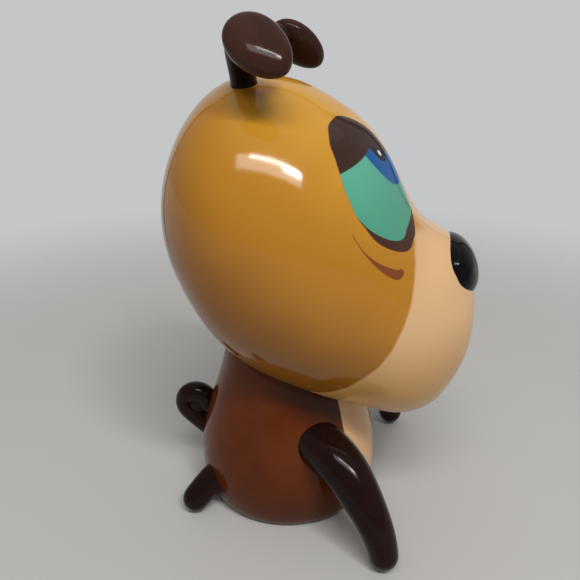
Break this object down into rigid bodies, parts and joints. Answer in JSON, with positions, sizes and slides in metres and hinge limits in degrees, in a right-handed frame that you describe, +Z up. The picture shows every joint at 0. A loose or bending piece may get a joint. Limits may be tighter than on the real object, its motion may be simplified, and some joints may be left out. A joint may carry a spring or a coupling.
{
  "type": "coin bank",
  "caption": "Glazed ceramic dog figure coin bank: hollow head on a bell-shaped body, folded ears, curved legs, curled tail, back slot, base stopper.",
  "frame": {"origin": "centre of the foot ring under the body, on the surface the bank stands on", "axes": "+Z up; the dog faces -Y and its right side is -X"},
  "size_m": [0.1076, 0.1256, 0.1916],
  "materials": {
    "head_glaze": "high gloss amber glaze with painted eyes and muzzle",
    "body_glaze": "high gloss chestnut brown glaze with a paler chest",
    "limb_glaze": "high gloss dark brown glaze",
    "nose_glaze": "high gloss black glaze",
    "stopper_vinyl": "matt moulded vinyl"
  },
  "bodies": {
    "figure": {"head_casting": "head_glaze", "body_casting": "body_glaze", "nose": "nose_glaze", "ear_right": "limb_glaze", "ear_left": "limb_glaze", "front_leg_right": "limb_glaze", "front_leg_left": "limb_glaze", "hind_leg_right": "limb_glaze", "hind_leg_left": "limb_glaze", "tail": "limb_glaze"},
    "stopper": {"stopper": "stopper_vinyl"}
  },
  "joints": [
    {"name": "stopper_pull", "type": "slide", "parent": "figure", "child": "stopper", "axis": [0, 0, -1], "range_m": [0, 0.03]}
  ]
}
